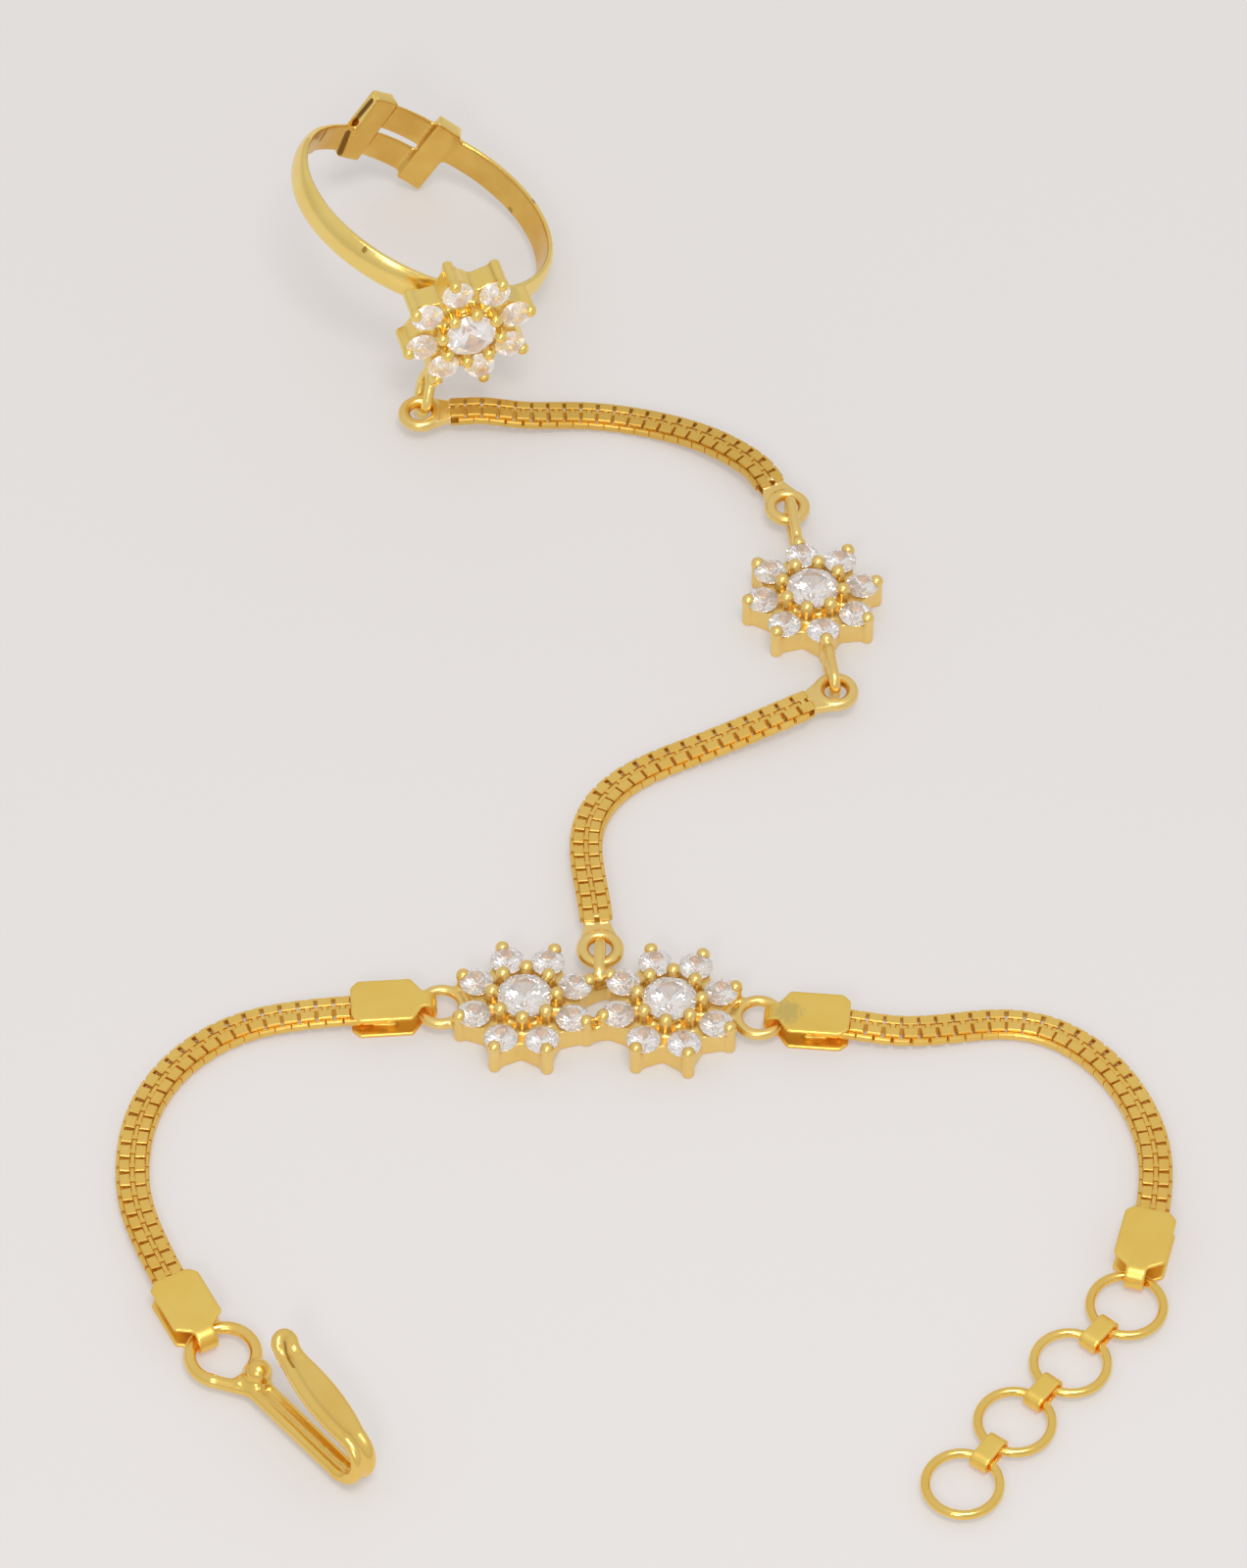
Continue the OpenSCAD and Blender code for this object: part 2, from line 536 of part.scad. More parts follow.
module ring_and_flower() {
    left_middle = (left_start + left_ends_start) / 2;
    band_arc(left_start - 360, right_start);
    slanting(left_start, (left_start + left_middle) / 2) band_arc(left_middle - 1, left_start + 1);
    slanting(left_start, (left_ends_start + left_middle) / 2)
        band_arc(left_ends_start - 1, left_middle + 1, ends_setback / 2);
    slanting(left_start, ends_angle) band_arc(left_tab_angle - 4, left_ends_start + 1, ends_setback);
    slanting(right_start, ends_angle) band_arc(right_start - 2, right_tab_angle + 4, ends_setback);
    difference() {
        union() {
            strap_tab(right_tab_angle, 1);
            strap_tab(left_tab_angle, -1);
        }
        cylinder(h = finger_d, r = ring_r - tab_stand, center = true, $fn = 96);
    }
    translate([band_mid_r, 0, 0]) rotate([0, 90, 0]) difference() {
        cylinder(h = ring_flower_x + gallery_h - gallery_top + EPS - band_mid_r, r = foot_r);
        translate([0, 0, band_t]) cylinder(h = ring_foot + gallery_h + 1, r = foot_r - 0.7);
    }
    translate([ring_flower_x, 0, 0]) rotate([0, 90, 0]) rotate([0, 0, ring_flower_roll]) setting(ring_skirt);
}

// The slanting loop from a tip of the ring's flower down through its end ring
module finger_loop() {
    span = finger_loop_hold - finger_loop_root;
    aimed = span / norm(span);
    past = (end_ring_wire_d + loop_wire_d) / 2 + ring_play;
    translate(finger_loop_hold + past * aimed)
        rotate([finger_loop_roll, -asin(aimed.z), atan2(aimed.y, aimed.x)])
        oval_loop(norm(span) + past, (loop_w + 0.7 * ring_play) / sin(finger_loop_roll), loop_wire_d);
}

module middle_setting() color(GOLD) {
    place_flower("middle") setting();
    upright_loop(top_loop_end, top_loop_heading, top_loop_l);
    upright_loop(bottom_loop_end, bottom_loop_heading, bottom_loop_l);
}

// A bar of solder between two points at one height
module bar(p, q, w, h, z) translate(up(p, z)) rotate([0, 0, angle_to(p, q)])
    translate([0, -w / 2, 0]) cube([norm(q - p), w, h]);

module wrist_setting() color(GOLD) {
    place_flower("left") setting();
    place_flower("right") setting();
    for (a = [22.5, -22.5]) bar(left_at + outer_prong_r * aim(left_turn + a),
        right_at + outer_prong_r * aim(right_turn + 180 - a), 0.9, gallery_h - 0.5, 0.2);
    translate(up(wrist_at + [0.1, 2.3], gallery_h)) sphere(d = 1.1);
    upright_loop(wrist_loop_end, wrist_loop_heading, wrist_loop_l);
    side_loop(left_at, left_loop_heading, left_loop_root);
    side_loop(right_at, right_loop_heading, right_loop_root);
}

// A flat round loop that a cap folds round, on a solder root from a notch of the gallery
module side_loop(at, heading, root) {
    near = at + (notch_r + root) * aim(heading);
    bar(at + (notch_r - 0.3) * aim(heading), near + 0.1 * aim(heading), 1, 0.8, cap_z - 0.4);
    translate(up(near + side_loop_d / 2 * aim(heading), cap_z))
        rotate_extrude() translate([side_loop_d / 2, 0]) circle(d = loop_wire_d);
}

// The springy hook: an eye, a doubled lower leg, a bend and a doubled upper leg with a turned-up end
module hook() color(GOLD) {
    heading = left_lower_heading + 194;
    tilt = 16;
    upper_slope = 4;
    upper_yaw = 7;
    eye_seat = 0.35;
    bend_r = leg_rise / cos(tilt) / 2;
    far_z = hook_joint_d / 2 + leg_space / 2 * sin(tilt);
    drop = atan((eye_z - far_z) / leg_l);
    upper_l = leg_l - 5.35;
    joint_x = eye_r + 0.4;
    translate(up(left_low_bend + eye_seat * aim(left_lower_heading), eye_z)) rotate([0, 0, heading])
        translate([eye_r, 0, 0]) {
        hook_eye([joint_x + 0.9, -leg_space / 2]);
        translate([joint_x, 0, 0]) rotate([90, 0, 0])
            cylinder(h = leg_space + hook_wire_d + 0.1, d = hook_wire_d + 0.24, center = true);
        translate([joint_x + 0.5, 0.55, 0.75]) sphere(d = knob_d);
        rotate([0, drop, 0]) rotate([-tilt, 0, 0]) {
            for (side = [-1, 1]) translate([0, side * leg_space / 2, 0]) {
                translate([joint_x, 0, 0]) rotate([0, 90, 0]) cylinder(h = leg_l - joint_x, d = hook_wire_d);
                translate([leg_l, 0, 0]) sphere(d = hook_joint_d);
                translate([leg_l, 0, bend_r]) rotate([90, 0, 0])
                    rotate_extrude(angle = 180 - upper_slope, start = -90) translate([bend_r, 0])
                        circle(d = hook_wire_d);
            }
            translate([leg_l, 0, bend_r]) rotate([0, upper_slope, 0]) translate([0, 0, bend_r])
                rotate([0, 0, -upper_yaw]) hook_end(upper_l);
        }
    }
}

// The eye: most of a ring, drawn out by a straight wire to a tip on the lower leg
module hook_eye(tip) {
    reach = norm(tip);
    leave = angle_to([0, 0], tip) - acos(eye_r / reach);
    gap_start = 5;
    rotate_extrude(angle = 360 + leave - gap_start, start = gap_start) translate([eye_r, 0])
        circle(d = hook_wire_d);
    rotate([0, 0, leave]) translate([eye_r, 0, 0]) {
        sphere(d = hook_joint_d);
        rotate([-90, 0, 0]) cylinder(h = sqrt(reach ^ 2 - eye_r ^ 2), d = hook_wire_d);
    }
    translate(up(tip, 0)) sphere(d = hook_joint_d);
}

// The upper leg: two bowed wires that run back by l with a web between them, curl up and close as a hairpin
module hook_end(l) {
    curl_r = 2.2;
    curl = 38;
    bow = 0.45;
    web_t = hook_wire_d * 0.75;
    bow_r = (l ^ 2 / 4 + bow ^ 2) / (2 * bow);
    bow_y = bow_r - bow - leg_space / 2;
    bow_angle = asin(l / 2 / bow_r);
    for (side = [-1, 1]) {
        for (x = [-l, 0]) translate([x, side * leg_space / 2, 0]) sphere(d = hook_joint_d);
        translate([-l / 2, -side * bow_y, 0]) rotate([0, 0, side * 90 - bow_angle])
            rotate_extrude(angle = 2 * bow_angle) translate([bow_r, 0]) circle(d = hook_wire_d);
        translate([-l, side * leg_space / 2, curl_r]) rotate([90, 0, 0])
            rotate_extrude(angle = curl, start = -90 - curl) translate([curl_r, 0]) circle(d = hook_wire_d);
    }
    linear_extrude(web_t, center = true) intersection() {
        translate([-l / 2, bow_y]) circle(bow_r);
        translate([-l / 2, -bow_y]) circle(bow_r);
        translate([-l, -leg_space]) square([l, 2 * leg_space]);
    }
    translate([-l, 0, curl_r]) rotate([0, curl, 0]) translate([0, 0, -curl_r]) {
        rotate_extrude(angle = 180, start = 90) translate([leg_space / 2, 0]) circle(d = hook_wire_d);
        for (side = [-1, 1]) translate([0, side * leg_space / 2, 0]) sphere(d = hook_joint_d);
    }
}

// Extension rings in a row, each joined to the next by a strap
first_ring_heading = -107;
strap_headings = [-130, -129, -126];
ext_r = ext_ring_d / 2;
ext_first = right_low_bend + ext_r * aim(first_ring_heading);
function ext_at(k) = k == 0 ? ext_first
    : ext_at(k - 1) + (ext_ring_d + strap_reach) * aim(strap_headings[k - 1]);

module extension_ring(k) color(GOLD) translate(up(ext_at(k), ring_z))
    rotate_extrude() translate([ext_r, 0]) circle(d = ext_wire_d);

module strap(k) color(GOLD) {
    inner_r = ext_wire_d / 2 + 0.08;
    slack = 0.12;
    span = strap_reach + 2 * slack;
    start = ext_at(k) + (ext_r - slack) * aim(strap_headings[k]);
    translate(up(start, ring_z)) rotate([90, 0, strap_headings[k]])
        linear_extrude(strap_w, center = true) difference() {
            flat_oval(span, inner_r + strap_t);
            flat_oval(span, inner_r);
        }
}
module flat_oval(span, r) {
    for (x = [0, span]) translate([x, 0]) circle(r);
    translate([0, -r]) square([span, 2 * r]);
}

finger_ring();
middle_setting();
wrist_setting();
hook();
for (f = FLOWERS, k = [0:8]) place_flower(f) flower_stone(k);
finger_chain();
hand_chain();
left_wrist_chain();
right_wrist_chain();
end_ring(finger_end_ring_at, finger_ring_aim);  // finger_chain_ring
end_ring(finger_chain_end_at, finger_end_aim);  // finger_chain_end
end_ring(hand_chain_end_at, hand_end_aim);  // hand_chain_end
end_ring(hand_chain_ring_at, hand_ring_aim);  // hand_chain_ring
cap(left_bend, left_upper_heading);  // left_upper_cap
cap(right_bend, right_upper_heading);  // right_upper_cap
cap(left_low_bend, left_lower_heading);  // left_lower_cap
cap(right_low_bend, right_lower_heading);  // right_lower_cap
for (k = [1:4]) extension_ring(k - 1);
for (k = [1:3]) strap(k - 1);
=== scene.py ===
# Hand chain bracelet of yellow gold and clear stones, laid open on a pale table.
import math
import bpy
from mathutils import Matrix, Vector


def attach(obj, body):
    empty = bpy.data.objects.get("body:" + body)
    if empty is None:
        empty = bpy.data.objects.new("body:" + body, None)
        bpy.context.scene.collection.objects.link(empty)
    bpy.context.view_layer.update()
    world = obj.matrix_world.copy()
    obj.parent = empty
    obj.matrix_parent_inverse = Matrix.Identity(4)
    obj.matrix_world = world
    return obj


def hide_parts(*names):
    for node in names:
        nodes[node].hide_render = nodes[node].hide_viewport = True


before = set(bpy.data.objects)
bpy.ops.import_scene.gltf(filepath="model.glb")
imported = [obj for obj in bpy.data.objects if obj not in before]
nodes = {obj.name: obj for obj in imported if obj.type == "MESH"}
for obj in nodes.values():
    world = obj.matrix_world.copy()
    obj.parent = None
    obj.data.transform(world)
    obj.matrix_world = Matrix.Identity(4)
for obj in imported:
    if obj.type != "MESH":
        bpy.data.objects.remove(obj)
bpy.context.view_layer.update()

# Table: a light table of milky white board, larger than the view on all sides, which glows a little.
# It carries the first shader helpers: a socket that takes part in sums, and a finish that holds the nodes.
class Tone:
    """A socket of a shader, on which + - * / add Math nodes"""
    def __init__(self, finish, socket):
        self.finish = finish
        self.socket = socket

    def sum(self, operation, other):
        return self.finish.node("Math", {"operation": operation}, {0: self, 1: other})

    def __add__(self, other): return self.sum("ADD", other)
    def __radd__(self, other): return self.sum("ADD", other)
    def __mul__(self, other): return self.sum("MULTIPLY", other)
    def __rmul__(self, other): return self.sum("MULTIPLY", other)
    def __sub__(self, other): return self.sum("SUBTRACT", other)
    def __rsub__(self, other): return (self * -1) + other
    def __truediv__(self, other): return self.sum("DIVIDE", other)

    def clamped(self): return self.finish.node("Clamp", {}, {0: self})


class Finish:
    """A material, or the world, with one method that adds any node"""
    def __init__(self, owner):
        owner.use_nodes = True
        self.owner = owner
        self.tree = owner.node_tree

    def node(self, kind, settings, values, out=0):
        made = self.tree.nodes.new("ShaderNode" + kind)
        for name, value in settings.items():
            if name == "stops":
                ramp = made.color_ramp
                while len(ramp.elements) < len(value):
                    ramp.elements.new(0.5)
                for element, (place, colour) in zip(ramp.elements, value):
                    element.position = place
                    element.color = (*colour, 1)
            else:
                setattr(made, name, value)
        for name, value in values.items():
            self.feed(made.inputs[name], value)
        return Tone(self, made.outputs[out])

    def feed(self, socket, value):
        if isinstance(value, Tone):
            self.tree.links.new(value.socket, socket)
        elif isinstance(value, (tuple, list)) and len(value) == 3 and socket.type == "RGBA":
            socket.default_value = (*value, 1)
        else:
            socket.default_value = value

    def place(self):
        return self.node("TexCoord", {}, {}, out="Object")

    def noise(self, scale, detail, roughness):
        return self.node("TexNoise", {}, {"Vector": self.place(), "Scale": scale, "Detail": detail,
                                          "Roughness": roughness})

    def bump(self, height, strength, distance):
        return self.node("Bump", {}, {"Strength": strength, "Distance": distance, "Height": height})

    def mix(self, share, low, high):
        return self.node("Mix", {"data_type": "RGBA"}, {"Factor": share, 6: low, 7: high}, out=2)

    def ramp(self, share, stops):
        return self.node("ValToRGB", {"stops": stops}, {0: share})

    def surface(self, **values):
        shader = next(n for n in self.tree.nodes if n.type == "BSDF_PRINCIPLED")
        for name, value in values.items():
            self.feed(shader.inputs[name.replace("_", " ")], value)
        return self.owner


def finish(name):
    return Finish(bpy.data.materials.new(name))


def deselect():
    if bpy.context.object and bpy.context.object.mode != "OBJECT":
        bpy.ops.object.mode_set(mode="OBJECT")
    bpy.ops.object.select_all(action="DESELECT")


BOARD_WIDTH = 2.4
BOARD_GRAIN, BOARD_CLOUDS, BOARD_RELIEF = 900, 7, 0.00005
deselect()
bpy.ops.mesh.primitive_plane_add(size=BOARD_WIDTH)
table = bpy.context.object
table.name = "table"
board = finish("white_board")
grain = board.noise(BOARD_GRAIN, 3, 0.6)
cloud = board.noise(BOARD_CLOUDS, 1, 0.4)
table.data.materials.append(board.surface(
    Base_Color=board.ramp(cloud, [(0.3, (0.475, 0.465, 0.46)), (0.7, (0.49, 0.48, 0.477))]),
    Emission_Color=(0.28, 0.267, 0.263), Emission_Strength=1.0,
    Roughness=0.42 + grain * 0.12, Normal=board.bump(grain, 0.05, BOARD_RELIEF)))

# Light: a white tent, whose walls darken towards the table and towards the opening for the camera.
# A soft lamp above the camera lays short shadows behind the pieces and a bright spot on each bead.
# A low window left of the camera puts the glint on the rim of the finger ring.
WALL_FOOT, WALL_RISE, OPENING_SHADE = 0.55, 0.16, 0.3
OPENING_TOWARD = Vector((0, -0.64, 0.77)).normalized()
world = bpy.data.worlds.new("tent")
bpy.context.scene.world = world
tent = Finish(world)
ray = tent.node("TexCoord", {}, {}, out="Generated")
facing = tent.node("VectorMath", {"operation": "DOT_PRODUCT"}, {0: ray, 1: OPENING_TOWARD}, out="Value")
height = tent.node("SeparateXYZ", {}, {0: ray}, out="Z")
opening = ((facing - 0.86) * 9).clamped()
wall = ((height - 0.02) * 2.2).clamped()
background = tent.tree.nodes["Background"]
tent.feed(background.inputs["Strength"], (wall * WALL_RISE + WALL_FOOT) * (1 - opening * OPENING_SHADE))
tent.feed(background.inputs["Color"], (1.0, 0.98, 0.97))


def lamp(name, at, aim, size, power, colour):
    light = bpy.data.lights.new(name, "AREA")
    light.shape = "DISK"
    light.size = size
    light.energy = power
    light.color = colour
    holder = bpy.data.objects.new(name, light)
    bpy.context.scene.collection.objects.link(holder)
    holder.location = at
    holder.rotation_euler = (Vector(aim) - Vector(at)).to_track_quat("-Z", "Y").to_euler()


lamp("main_lamp", (0.08, -0.25, 0.85), (0, 0, 0), 0.35, 2.3, (1.0, 0.985, 0.97))
lamp("low_window", (-0.11, -0.515, 0.417), (-0.02, 0.045, 0.011), 0.16, 0.55, (1.0, 0.99, 0.98))
bpy.context.scene.view_settings.view_transform = "Standard"

# Camera: a long lens at 50 degrees above the table, as in the photograph.
# It stands 553 mm from the middle of the bracelet. From here on, sizes and places are in millimetres.
MM = 0.001
CAMERA_AT, CAMERA_AIM = (-1.47, -354.42, 423.61), (-1.47, 1.04, 0)
eye = bpy.data.cameras.new("eye")
eye.sensor_fit = "VERTICAL"
eye.sensor_height = 36
eye.lens = 168.75
eye.clip_start = 0.01
camera = bpy.data.objects.new("camera", eye)
bpy.context.scene.collection.objects.link(camera)
camera.location = Vector(CAMERA_AT) * MM
camera.rotation_euler = (Vector(CAMERA_AIM) * MM - camera.location).to_track_quat("-Z", "Y").to_euler()
bpy.context.scene.camera = camera

# Extension rings: four rings of round wire, polished, each bent to a circle and soldered shut. All the
# gold solids get their plain finish first. Each gold has lighter and deeper patches and a fine skin. Its
# recesses get painted orange shade, tinted as tarnish, and a painted warm glow.
PATCHES, RUBS = 260, 1500


def gold(name, light, deep, rough, uneven, skin_scale, relief, reach, shade_and_tarnish_gain,
         shade_and_tarnish_colour=(0.80, 0.40, 0.06), marks=(), painted_glow=(0.05, 0.022, 0.003)):
    metal = finish(name)
    patches = metal.noise(PATCHES, 2, 0.55)
    skin = metal.noise(skin_scale, 4, 0.65)
    rubs = metal.noise(RUBS, 2, 0.5)
    share = ((patches - 0.5) * 1.8 + 0.5).clamped()
    # Occlusion finds the recesses, which get painted orange shade tinted as tarnish and a painted warm
    # glow.
    open_air = metal.node("AmbientOcclusion", {"samples": 4}, {"Distance": reach * MM}, out="AO")
    shade_and_tarnish = ((0.8 - open_air) * shade_and_tarnish_gain).clamped()
    skin_colour = metal.mix(shade_and_tarnish, metal.mix(share, light, deep), shade_and_tarnish_colour)
    for mark, colour in marks:
        skin_colour = metal.mix(mark(metal), skin_colour, colour)
    return metal.surface(
        Metallic=1.0,
        Base_Color=skin_colour,
        Emission_Color=metal.mix(shade_and_tarnish, (0, 0, 0), painted_glow), Emission_Strength=1.0,
        Roughness=(rough + (skin - 0.5) * uneven + (rubs - 0.5) * uneven * 0.6).clamped(),
        Normal=metal.bump(skin, 1.0, relief * MM))


WIRE = gold("polished_gold", (0.96, 0.69, 0.20), (0.92, 0.61, 0.14), 0.18, 0.08, 2600, 0.0006, 0.5, 0.8)
for name, piece in nodes.items():
    if "stone" not in name:
        piece.data.materials.clear()
        piece.data.materials.append(WIRE)
        piece.data.polygons.foreach_set("material_index", [0] * len(piece.data.polygons))

# Finger ring: a cast and rolled band with a strap tab at each end and the flower soldered on.
# Its inner face is painted browner as shade, it has a few scuffs, and the left tab's mouth is painted dark
# inside as shade.
# The copy of the solid has its corners filled and worn soft, as solder and tumbling leave them.
RING_MIDDLE, FINGER_REACH = (-17.37, 54.34, 6.96), 11.4
WELD = 1e-6


def from_point(metal, operation, at):
    """The way or the distance from a point of the bracelet"""
    out = "Vector" if operation == "SUBTRACT" else "Value"
    return metal.node("VectorMath", {"operation": operation},
                      {0: metal.place(), 1: [c * MM for c in at]}, out=out)


# Painted shade on the band's inner face, the faces turned to the ring's middle.
def finger_side_shade(metal):
    out = from_point(metal, "SUBTRACT", RING_MIDDLE)
    away = metal.node("VectorMath", {"operation": "LENGTH"}, {0: out}, out="Value")
    heading = metal.node("VectorMath", {"operation": "NORMALIZE"}, {0: out})
    faces = metal.node("NewGeometry", {}, {}, out="Normal")
    outward = metal.node("VectorMath", {"operation": "DOT_PRODUCT"}, {0: heading, 1: faces}, out="Value")
    inward = outward * -1
    near = ((FINGER_REACH * MM - away) * 4000).clamped()
    uneven = (metal.noise(350, 2, 0.6) * 0.9 + 0.45).clamped()
    return (inward * 2 - 0.4).clamped() * near * uneven


def spot(at, radius, depth):
    """A ragged rubbed patch round a point"""
    def mark(metal):
        away = from_point(metal, "DISTANCE", at)
        ragged = metal.noise(4000, 2, 0.6)
        return ((1 - away / (radius * MM)) * 2 + (ragged - 0.5) * 3).clamped() * depth
    return mark


def stroke(start, end, radius, depth):
    """A dark line from one point to another: painted shade along a slit or a seam"""
    def mark(metal):
        along = (Vector(end) - Vector(start)) * MM
        out = from_point(metal, "SUBTRACT", start)
        run = metal.node("VectorMath", {"operation": "DOT_PRODUCT"}, {0: out, 1: along}, out="Value")
        reached = metal.node("VectorMath", {"operation": "SCALE"},
                             {0: along, "Scale": (run / along.length_squared).clamped()})
        away = metal.node("VectorMath", {"operation": "DISTANCE"}, {0: out, 1: reached}, out="Value")
        return ((1 - away / (radius * MM)) * 3).clamped() * depth
    return mark


def merged_copy(node):
    """A copy of a CAD node with its triangles joined, left in edit mode"""
    deselect()
    nodes[node].select_set(True)
    bpy.context.view_layer.objects.active = nodes[node]
    bpy.ops.object.duplicate()
    piece = bpy.context.object
    for key in list(piece.keys()):
        del piece[key]
    bpy.ops.object.mode_set(mode="EDIT")
    bpy.ops.mesh.select_all(action="SELECT")
    bpy.ops.mesh.remove_doubles(threshold=WELD)
    return piece


def worn(node, name, finish_used, fill, rub_steps, cell=0.09):
    """The soft copy of a solid: inner corners filled by `fill`, outer ones rubbed down"""
    piece = merged_copy(node)
    piece.name = name
    bpy.ops.transform.resize(value=(1 / MM,) * 3, center_override=(0, 0, 0))
    bpy.ops.object.mode_set(mode="OBJECT")
    for step, grow in enumerate((fill, -fill)):
        skin = piece.modifiers.new(f"skin_{step}", "REMESH")
        skin.mode = "VOXEL"
        skin.voxel_size = cell
        skin.use_smooth_shade = True
        swell = piece.modifiers.new(f"swell_{step}", "DISPLACE")
        swell.strength = grow
        swell.mid_level = 0
    rub = piece.modifiers.new("rub", "SMOOTH")
    rub.factor = 0.5
    rub.iterations = rub_steps
    for step in [m.name for m in piece.modifiers]:
        bpy.ops.object.modifier_apply(modifier=step)
    bpy.ops.object.mode_set(mode="EDIT")
    bpy.ops.mesh.select_all(action="SELECT")
    bpy.ops.transform.resize(value=(MM,) * 3, center_override=(0, 0, 0))
    bpy.ops.object.mode_set(mode="OBJECT")
    bpy.ops.object.shade_smooth()
    piece.data.materials.clear()
    piece.data.materials.append(finish_used)
    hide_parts(node)
    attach(piece, "root")


INNER_SHADE, SCUFF, SLIT_SHADE = (0.77, 0.46, 0.10), (0.42, 0.25, 0.06), (0.22, 0.10, 0.015)
BAND_MARKS = [(finger_side_shade, INNER_SHADE),
              (spot((-21.62, 45.45, 11.8), 0.3, 0.9), SCUFF),
              (spot((-10.59, 59.88, 1.43), 0.35, 0.8), SCUFF),
              (spot((-8.6, 59.24, 3.2), 0.3, 0.8), SCUFF),
              # Two dark strokes paint the shade inside the left tab's slit.
              (stroke((-22.8, 63.85, 7.75), (-21.55, 64.2, 9.5), 0.26, 0.95), SLIT_SHADE),
              (stroke((-23.5, 62.8, 7.3), (-24.2, 62.5, 5.45), 0.34, 0.95), SLIT_SHADE)]
BAND = gold("band_gold", (0.99, 0.775, 0.265), (0.96, 0.69, 0.19), 0.23, 0.08, 1600, 0.0008, 0.7, 0.8,
            marks=BAND_MARKS)
worn("finger_ring", "finger_ring_cast", BAND, 0.08, 24, 0.1)

# Flower settings: cast galleries with prongs over the stones, satin from the casting and the polish.
# The middle flower is one casting. The wrist setting is two flowers, bridged and soldered.
CAST = gold("cast_gold", (0.955, 0.72, 0.28), (0.91, 0.64, 0.20), 0.30, 0.08, 2200, 0.0008, 0.7, 0.8)
worn("middle_setting", "middle_setting_cast", CAST, 0.1, 5)
worn("wrist_setting", "wrist_setting_cast", CAST, 0.1, 5, 0.1)

# Hook: a doubled wire, bent to an eye and a spring leaf. Solder fills the groove between its wires.
# The seam where the wire is folded is painted as a dark line of shade at the tip.
SEAM_SHADE = (0.50, 0.24, 0.03)
SEAM_BENDS = [(-25.14, -54.18, 5.07), (-25.08, -54.5, 4.86), (-24.84, -55.33, 4.82), (-24.47, -56.0, 4.74)]
HOOK_MARKS = [(stroke(a, b, 0.15, 0.9), SEAM_SHADE) for a, b in zip(SEAM_BENDS, SEAM_BENDS[1:])]
LEAF = gold("hook_gold", (0.97, 0.70, 0.215), (0.91, 0.61, 0.145), 0.24, 0.12, 1800, 0.0016, 0.5, 0.8,
            marks=HOOK_MARKS)
worn("hook", "hook_wire", LEAF, 0.3, 16)

# Folded straps: strips of sheet that join each extension ring to the next, folded round both wires.
# Their gold is the caps' too: satin sheet, painted inside the fold with orange shade and a strong warm
# glow, and a smudge on the right upper cap.
SMUDGE = (0.55, 0.46, 0.19)
FOLD = gold("folded_gold", (0.97, 0.715, 0.19), (0.93, 0.635, 0.135), 0.36, 0.12, 3500, 0.001, 1.3, 1.3,
            (0.80, 0.34, 0.03), [(spot((10.5, -22.4, 2.1), 1.3, 0.55), SMUDGE)], (0.25, 0.09, 0.005))
for strap in ("strap_1", "strap_2", "strap_3"):
    worn(strap, strap + "_strip", FOLD, 0.05, 12, 0.07)

# End rings: a ring of wire with a neck at each end of the finger chain and of the hand chain.
# The neck is soldered over the chain's last plates, and the ring hangs in a loop of a setting.
for end in ("finger_chain_ring", "finger_chain_end", "hand_chain_end", "hand_chain_ring"):
    worn(end, end + "_wire", CAST, 0.1, 5, 0.07)

# Stones: round brilliants of clear cubic zirconia, cut with a table, stars, kites and a deep pavilion.
# Each stone is cut from its rings of corners, and the nine of a flower are set in their seats.
# The ring's flower is turned to the low window and gets a stronger painted glow, so its stones are the
# brightest.
TABLE_SHARE, CROWN, PAVILION, GIRDLE = 0.56, 0.15, 0.42, 0.08
STAR_SHARE, LOWER_SHARE = 0.55, 0.25
HALF_FACET = 22.5
CENTRE_D, PETAL_D = 4.0, 2.5
CLEAR_GLOW, BRIGHT_GLOW = 0.04, 0.075


def cut_stone(d):
    """One brilliant of diameter d, girdle at the origin and table up"""
    table_r, girdle_r = TABLE_SHARE * d / 2, d / 2
    flat = math.cos(math.radians(HALF_FACET))
    star_r = table_r * flat + STAR_SHARE * (girdle_r - table_r * flat)
    star_z = GIRDLE / 2 + (girdle_r - star_r * flat) / (girdle_r - table_r) * CROWN * d
    lower_r = LOWER_SHARE * girdle_r
    lower_z = -GIRDLE / 2 - (1 - LOWER_SHARE * flat) * (PAVILION * d - GIRDLE / 2)
    rings = [(8, table_r, GIRDLE / 2 + CROWN * d, 0), (8, star_r, star_z, HALF_FACET),
             (16, girdle_r, GIRDLE / 2, 0), (16, girdle_r, -GIRDLE / 2, 0),
             (8, lower_r, lower_z, HALF_FACET), (8, 0.01, -PAVILION * d, 0)]
    deselect()
    for k, (corners, r, z, turn) in enumerate(rings):
        bpy.ops.mesh.primitive_circle_add(vertices=corners, radius=r * MM, location=(0, 0, z * MM),
                                          rotation=(0, 0, math.radians(turn)))
        if k == 0:
            bpy.ops.object.transform_apply()
            bpy.ops.object.mode_set(mode="EDIT")
    bpy.ops.mesh.select_all(action="SELECT")
    bpy.ops.mesh.convex_hull(join_triangles=False)
    bpy.ops.mesh.dissolve_limited(angle_limit=math.radians(0.6))
    bpy.ops.object.mode_set(mode="OBJECT")
    return bpy.context.object


def corners_of(name):
    return [v.co for v in nodes[name].data.vertices]


def mean(points):
    return sum(points, Vector()) / len(points)


def joined(parts, name):
    deselect()
    for part in parts:
        part.select_set(True)
    bpy.context.view_layer.objects.active = parts[0]
    bpy.ops.object.join()
    piece = bpy.context.object
    piece.name = name
    bpy.ops.object.transform_apply()
    return piece


